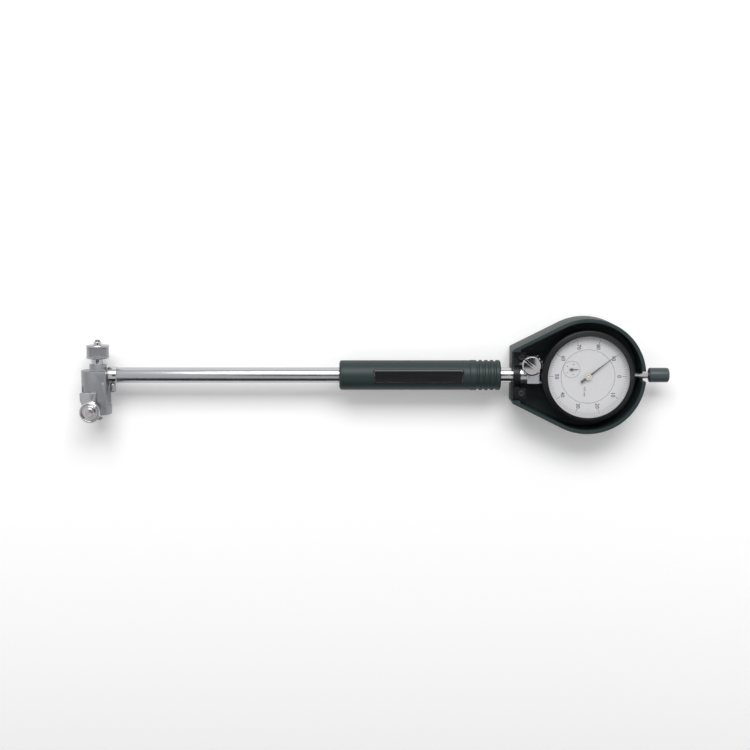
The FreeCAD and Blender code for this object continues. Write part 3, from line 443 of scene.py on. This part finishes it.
# %% Head body, collet and anvil
refined("head", "head_body", metals["blasted"], 0.3, 3)
refined("collet_jaws", "collet", metals["polished"], 0.1)
refined("anvil_rod", "anvil", metals["polished"], 0.1)
refined("anvil_button", "anvil_tip", metals["carbide"], 0.08)
refined("plunger", "contact_plunger", metals["polished"], 0.1)
refined("contact_button", "contact_tip", metals["carbide"], 0.08)


# %% Knurling
def knurled_band(data, axis, origin, start_mm, end_mm, radius_mm, pitch_mm, height_mm):
    """Cuts the band of side faces between two places along the axis into rows of small pyramids."""
    def in_band(face):
        offset = face.calc_center_median() - origin
        along = offset.dot(axis)
        out = (offset - axis * along).length
        return (start_mm < along / MM < end_mm and abs(out / MM - radius_mm) < 0.2
                and abs(face.normal.dot(axis)) < 0.1)

    faces = [f for f in data.faces if in_band(f)]
    lengthwise = {e for f in faces for e in f.edges
                  if abs((e.verts[0].co - e.verts[1].co).normalized().dot(axis)) > 0.99}
    rows = max(2, round((end_mm - start_mm) / pitch_mm))
    bmesh.ops.subdivide_edges(data, edges=list(lengthwise), cuts=rows - 1, use_grid_fill=True)
    faces = [f for f in data.faces if in_band(f)]
    bmesh.ops.poke(data, faces=faces, offset=height_mm * MM, center_mode="MEAN")
    return len(faces)


def turned_nut():
    lo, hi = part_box("collet_nut")
    radius = (hi.x - lo.x) / 2 / MM
    start, end = lo.y / MM, hi.y / MM
    inner, mouth, mouth_depth = 4.1, 2.9, 1.2
    rim, slope, band = 1.2, 0.25, radius - 0.5
    band_start, band_end = start + rim + slope, end - rim - slope
    profile = [(start, inner), (start, radius - 0.4), (start + 0.15, radius - 0.12),
               (start + 0.4, radius), (start + rim, radius), (band_start, band), (band_end, band),
               (end - rim, radius), (end - 0.4, radius), (end - 0.15, radius - 0.12),
               (end, radius - 0.4), (end, mouth), (end - mouth_depth, mouth),
               (end - mouth_depth, inner)]
    origin = Vector((head_x, 0, axis_z))
    data = spun(profile, Y, origin, 64)
    teeth = knurled_band(data, Y, origin, band_start, band_end, band, pitch_mm=0.68, height_mm=0.3)
    place_piece(data, "knurled_nut", metals["knurled"], owner("collet_nut"), ("collet_nut",))
    return teeth


print("pyramids on the nut:", turned_nut())

# %% [markdown]
# ## The centring guide
# Two rollers straddle the contact and run on the bore's wall, so that the contact stands square to
# it. Each roller is a turned ring with a bright rim and a dark recess, on a slotted shoulder screw.

# %% Guide and rollers
refined("guide", "guide_yoke", metals["satin"], 0.25)
for side in ("front", "rear"):
    refined(f"roller_{side}_ring", f"guide_roller_{side}", metals["polished"], 0.15)
    refined(f"roller_{side}_screw", f"roller_screw_{side}", metals["polished"], 0.15)

# %% [markdown]
# The screw that locks the head on the tube has a knurled knob, cut the same way as the nut.

# %% Lock screw
def knurled_lock_screw():
    lo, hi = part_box("lock_screw")
    radius = (hi.x - lo.x) / 2 / MM
    start = lo.y / MM
    knob_length, chamfer, shank = 5.25, 0.4, 1.0
    neck, side = start + knob_length, radius - 0.1
    profile = [(start, 0), (start, radius - chamfer), (start + chamfer, side), (neck - chamfer, side),
               (neck, radius - 0.5), (neck, shank), (hi.y / MM, shank), (hi.y / MM, 0)]
    origin = Vector((middle("lock_screw").x, 0, axis_z))
    data = spun(profile, Y, origin, 20)
    knurled_band(data, Y, origin, start + chamfer, neck - chamfer, side, pitch_mm=0.6, height_mm=0.12)
    place_piece(data, "lock_knob", metals["knurled"], owner("lock_screw"), ("lock_screw",))


knurled_lock_screw()
print("head dressed")

# %% [markdown]
# ## The guard
# The guard is a moulded cup in the grip's colour. It keeps the indicator from knocks and lets a hand
# turn the bezel. A strap with a bulge holds it on the sleeve with two cross-slotted screws.

# %% Guard, strap and screws
refined("guard", "guard_shell", green_abs, 0.4, 3)
refined("strap", "guard_strap", black_abs, 0.3, 3)
refined("strap_screw_pair", "strap_screws", black_lacquer, 0.12)

# %% [markdown]
# ## The indicator
# Case, bezel and window come first. The bezel's edge has fine straight ridges for the thumb: every
# second long face of the rim is inset and lifted, which leaves a ridge and a groove.

# %% Case and spindle
refined("case", "indicator_case", metals["satin"], 0.15)
refined("case_cover", "back_cover", black_abs, 0.3)
refined("cover_screw_set", "cover_screws", metals["polished"], 0.1)
refined("upper_bush", "top_bush", metals["polished"], 0.1)
refined("spindle_rod", "spindle", metals["polished"], 0.05, 1)
refined("spindle_contact", "spindle_point", metals["carbide"], 0.1)
refined("knob", "lifting_knob", grey_abs, 0.35, 3)


# %% Bezel
def ridged_bezel():
    """Bezel with 120 ridges, on the solid's own section."""
    lo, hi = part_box("bezel")
    start, end = lo.z / MM, hi.z / MM
    radius = (hi.x - lo.x) / 2 / MM
    window_radius, groove, back_bore = 25.0, 26.1, 27.05
    seat, lip = low("dial_ring").z / MM - 0.1, end - 0.9
    rim_foot, rim_top, rim_radius = start + 0.4, end - 2.6, radius - 0.28
    profile = [(start, back_bore), (start, radius - 0.6), (rim_foot, rim_radius),
               (rim_top, rim_radius), (rim_top + 0.3, radius - 0.9), (end - 0.4, radius - 2.9),
               (end, radius - 3.2), (end, window_radius + 0.1), (lip, window_radius), (lip, groove),
               (seat, groove), (seat, back_bore)]
    data = spun(profile, Z, Vector((0, 0, 0)), 240)
    rim = [f for f in data.faces
           if abs(f.normal.z) < 0.1 and rim_foot < f.calc_center_median().z / MM < rim_top
           and f.calc_center_median().xy.length / MM > radius - 0.4]
    rim.sort(key=lambda f: math.atan2(f.calc_center_median().y, f.calc_center_median().x))
    ridges = rim[::2]
    bmesh.ops.inset_individual(data, faces=ridges, thickness=0.12 * MM, depth=0.26 * MM)
    bevel_sharp(data, 0.1, 1, math.radians(60))
    place_piece(data, "dial_bezel", black_abs, owner("bezel"), ("bezel",))
    return len(ridges)


print("ridges on the bezel:", ridged_bezel())
refined("window", "crystal", window, 0.2)

# %% [markdown]
# ## The dial
# The dial is printed, so its marks are thin raised sheets of ink on the enamel. The outer scale has
# a hundred divisions with a long mark every ten, numbered the way a bore gauge counts: the number
# rises as the hand goes clockwise. The small dial counts whole turns of the hand.

# %% Dial printing
ring_top = high("dial_ring").z
ink_height = 0.03
SCALE_RADIUS, NUMERAL_RADIUS = 24.0, 19.1
COUNTER_RADIUS, COUNTER_NUMERAL_RADIUS = 5.1, 3.2


def ink_sheet(data, centre, width_mm, length_mm, radius_mm, turn):
    """One mark: a thin box standing radially at an angle round a centre."""
    made = bmesh.ops.create_cube(data, size=1.0)["verts"]
    bmesh.ops.scale(data, vec=(length_mm * MM, width_mm * MM, ink_height * MM), verts=made)
    bmesh.ops.translate(data, vec=X * (radius_mm + length_mm / 2) * MM + Z * ink_height / 2 * MM,
                        verts=made)
    bmesh.ops.rotate(data, cent=(0, 0, 0), matrix=Matrix.Rotation(turn, 3, "Z"), verts=made)
    bmesh.ops.translate(data, vec=centre, verts=made)


def ring_line(data, centre, radius_mm, width_mm, steps):
    """A thin printed ring round a centre."""
    made = [data.verts.new(centre + X * radius * MM) for radius in (radius_mm, radius_mm + width_mm)]
    edge = data.edges.new(made)
    before = set(data.faces)
    bmesh.ops.spin(data, geom=[*made, edge], cent=centre, axis=Z, angle=math.tau, steps=steps,
                   use_merge=True)
    faces = [f for f in data.faces if f not in before]
    lift = bmesh.ops.extrude_face_region(data, geom=faces)["geom"]
    lifted = [v for v in lift if isinstance(v, bmesh.types.BMVert)]
    bmesh.ops.translate(data, vec=Z * ink_height * MM, verts=lifted)


def clockwise(centre, radius_mm, step, steps):
    """The place of a numeral, a number of steps clockwise from zero round a centre."""
    angle = -step * math.tau / steps
    return centre + Vector((radius_mm * MM * math.cos(angle), radius_mm * MM * math.sin(angle), 0))


def outer_scale():
    data = bmesh.new()
    centre = Vector((0, 0, ring_top))
    for mark in range(100):
        long, middling = mark % 10 == 0, mark % 5 == 0
        length = 3.0 if long else 2.3 if middling else 1.7
        width = 0.24 if long else 0.12
        ink_sheet(data, centre, width, length, SCALE_RADIUS - length, mark * math.tau / 100)
    place_piece(data, "scale_marks", ink, owner("dial_ring"))


def numeral(text, size_mm, place, body, name):
    """A number printed flat on the dial, its top towards the dial's top."""
    curve = bpy.data.curves.new(name, "FONT")
    curve.body = text
    curve.size = size_mm * MM
    curve.extrude = ink_height / 2 * MM
    curve.offset = size_mm * 0.02 * MM
    curve.resolution_u = 3
    curve.align_x, curve.align_y = "CENTER", "CENTER"
    words = bpy.data.objects.new(name, curve)
    bpy.context.scene.collection.objects.link(words)
    bpy.context.view_layer.update()
    data = bmesh.new()
    data.from_mesh(words.evaluated_get(bpy.context.evaluated_depsgraph_get()).to_mesh())
    bpy.data.objects.remove(words)
    upright = Matrix.Rotation(-math.pi / 2, 3, "Z")
    bmesh.ops.rotate(data, cent=(0, 0, 0), matrix=upright, verts=data.verts[:])
    bmesh.ops.translate(data, vec=place + Z * ink_height / 2 * MM, verts=data.verts[:])
    place_piece(data, name, ink, body)


def numbers_round_scale():
    for step in range(10):
        place = clockwise(Vector((0, 0, ring_top)), NUMERAL_RADIUS, step, 10)
        numeral(str(step * 10), 3.3, place, owner("dial_ring"), f"numeral_{step * 10:02d}")


outer_scale()
numbers_round_scale()
counter_place = Vector((middle("counter_arbor").x, middle("counter_arbor").y, high("dial_disc").z))
print("numbers from 0 to 90, counter dial at", [round(v / MM, 1) for v in counter_place])

# %% [markdown]
# The counter dial has ten divisions inside a ring, each halved by a shorter mark. The value of one
# division of the outer scale is printed beside it.

# %% Counter dial and the division's value
def counter_dial():
    data = bmesh.new()
    ring_line(data, counter_place, COUNTER_RADIUS, 0.14, 64)
    for mark in range(20):
        length = 0.8 if mark % 2 == 0 else 0.5
        ink_sheet(data, counter_place, 0.1, length, COUNTER_RADIUS - length, mark * math.tau / 20)
    place_piece(data, "counter_marks", ink, owner("dial_disc"))
    for step in range(0, 10, 2):
        place = clockwise(counter_place, COUNTER_NUMERAL_RADIUS, step, 10)
        numeral(str(step), 1.3, place, owner("dial_disc"), f"counter_numeral_{step}")


counter_dial()
value_place = Vector((-2.0 * MM, -9.4 * MM, dial_top))
numeral("0.01 mm", 1.7, value_place, owner("dial_disc"), "division_value")
refined("dial_outer", "dial_ring", white_enamel, 0.03, 1)
refined("dial_inner", "dial_disc", white_enamel, 0.03, 1)

# %% [markdown]
# ## Hands
# Hands are stamped from thin sheet and lacquered. The main hand's hub carries a turned ivory cap with
# a ring cut in it.

# %% Hands
refined("hand", "main_hand", black_lacquer, 0.03, 1)
refined("small_hand", "counter_hand", black_lacquer, 0.02, 1)


def hub_cap():
    top = high("main_hand").z / MM
    profile = [(top - 0.3, 0), (top - 0.3, 1.95), (top, 1.95), (top + 0.12, 1.85), (top + 0.12, 1.25),
               (top - 0.02, 1.2), (top - 0.02, 1.0), (top + 0.16, 0.95), (top + 0.2, 0)]
    data = spun(profile, Z, Vector((0, 0, 0)), 64)
    place_piece(data, "hub_cap", ivory, owner("main_hand"))


hub_cap()
print("hands dressed")

# %% [markdown]
# ## Inside
# The measuring train shows when a piece is taken out or looked at in section, so it gets its metals
# too: satin plates, brass pillars, arbors and bushes, and polished steel for the crank, its pin, the
# push rod and the springs.

# %% Finishes of the pieces inside
inside = {
    metals["brass"]: ("movement_pillars", "counter_arbor", "centre_arbor", "rod_bush_lower",
                      "rod_bush_upper"),
    metals["polished"]: ("bell_crank", "crank_pin", "push_rod", "rod_spring", "guide_springs"),
    metals["satin"]: ("rear_plate", "middle_plate", "front_plate"),
}
for material, group in inside.items():
    for node in group:
        finish_solid(node, material)
print("finished inside:", sum(len(group) for group in inside.values()), "solids")

# %% [markdown]
# ## Stage
# A white floor carries a soft shadow. Two dark cards outside the picture, one on the contact's side
# and one behind the camera, give the polished steel something dark to mirror.

# %% Floor and surroundings
def floor_finish():
    """White, lifted a little where the camera sees it, so that it fades into a white ground."""
    material, tree, shader = finish_of("pale_floor", "#fafafa", 0.0, 0.9, Specular_IOR_Level=0.0)
    seen = add(tree, "ShaderNodeLightPath").outputs["Is Camera Ray"]
    glow = 0.12
    lift = add(tree, "ShaderNodeMath", {"operation": "MULTIPLY", 1: glow})
    tree.links.new(seen, lift.inputs[0])
    tree.links.new(lift.outputs[0], shader.inputs["Emission Strength"])
    shader.inputs["Emission Color"].default_value = (1.0, 1.0, 1.0, 1.0)
    return material


def sheet(name, width, depth, place, tilt, material):
    """A flat stage card of a width and depth, tilted about X then placed."""
    data = bmesh.new()
    bmesh.ops.create_grid(data, x_segments=1, y_segments=1, size=0.5)
    bmesh.ops.scale(data, vec=(width, depth, 1), verts=data.verts[:])
    mesh = bpy.data.meshes.new(name)
    data.to_mesh(mesh)
    data.free()
    mesh.materials.append(material)
    card = bpy.data.objects.new(name, mesh)
    bpy.context.scene.collection.objects.link(card)
    card.location = place
    card.rotation_euler = tilt


solid_low, solid_high = (Vector(corner) for corner in solid_box)
centre = (solid_low + solid_high) / 2
floor_z = -0.0002            # a hair below the guard's back, so that the two never share a plane
sheet("floor", 6.0, 6.0, Vector((centre.x, centre.y, floor_z)), (0, 0, 0), floor_finish())
card_black = finish_of("card_black", "#050505", 0.0, 0.9)[0]
sheet("card_low", 1.2, 0.4, Vector((centre.x, -0.42, 0.18)), (math.radians(65), 0, 0), card_black)
sheet("card_above", 0.6, 0.36, Vector((centre.x, 0.02, 1.0)), (0, 0, 0), card_black)


def white_surroundings():
    world = bpy.data.worlds.new("studio")
    bpy.context.scene.world = world
    world.use_nodes = True
    background = world.node_tree.nodes["Background"]
    background.inputs["Color"].default_value = (1.0, 1.0, 1.0, 1.0)
    background.inputs["Strength"].default_value = 0.62


white_surroundings()

# %% [markdown]
# ## Light
# One broad key light stands well back on the anvil's side, so the round pieces are bright on that
# side and fall to grey on the other. The plain surroundings fill the rest.

# %% Key light
def softbox(name, watts, width, depth, place, aim):
    lamp = bpy.data.lights.new(name, "AREA")
    lamp.shape = "RECTANGLE"
    lamp.size, lamp.size_y = width, depth
    lamp.energy = watts
    light = bpy.data.objects.new(name, lamp)
    bpy.context.scene.collection.objects.link(light)
    light.location = place
    light.rotation_euler = (aim - place).to_track_quat("-Z", "Y").to_euler()


softbox("key", watts=28.0, width=1.6, depth=0.8, place=centre + Vector((0.05, 1.25, 1.45)),
        aim=centre)

# %% [markdown]
# ## Camera
# The gauge is seen almost from straight above, from a little under a metre. The camera leans a few
# degrees to the anvil's side, so the end of the anvil and the upper rim of the nut just show.

# %% Camera
lean = math.radians(7)
distance = 0.85
lens = bpy.data.cameras.new("camera")
lens.lens = 66.0
lens.sensor_width = 36.0
camera = bpy.data.objects.new("camera", lens)
bpy.context.scene.collection.objects.link(camera)
camera.location = centre + Vector((0, math.sin(lean), math.cos(lean))) * distance
camera.rotation_euler = (-lean, 0, 0)
bpy.context.scene.camera = camera
bpy.context.scene.view_settings.view_transform = "Standard"
print("camera at", [round(v, 3) for v in camera.location])
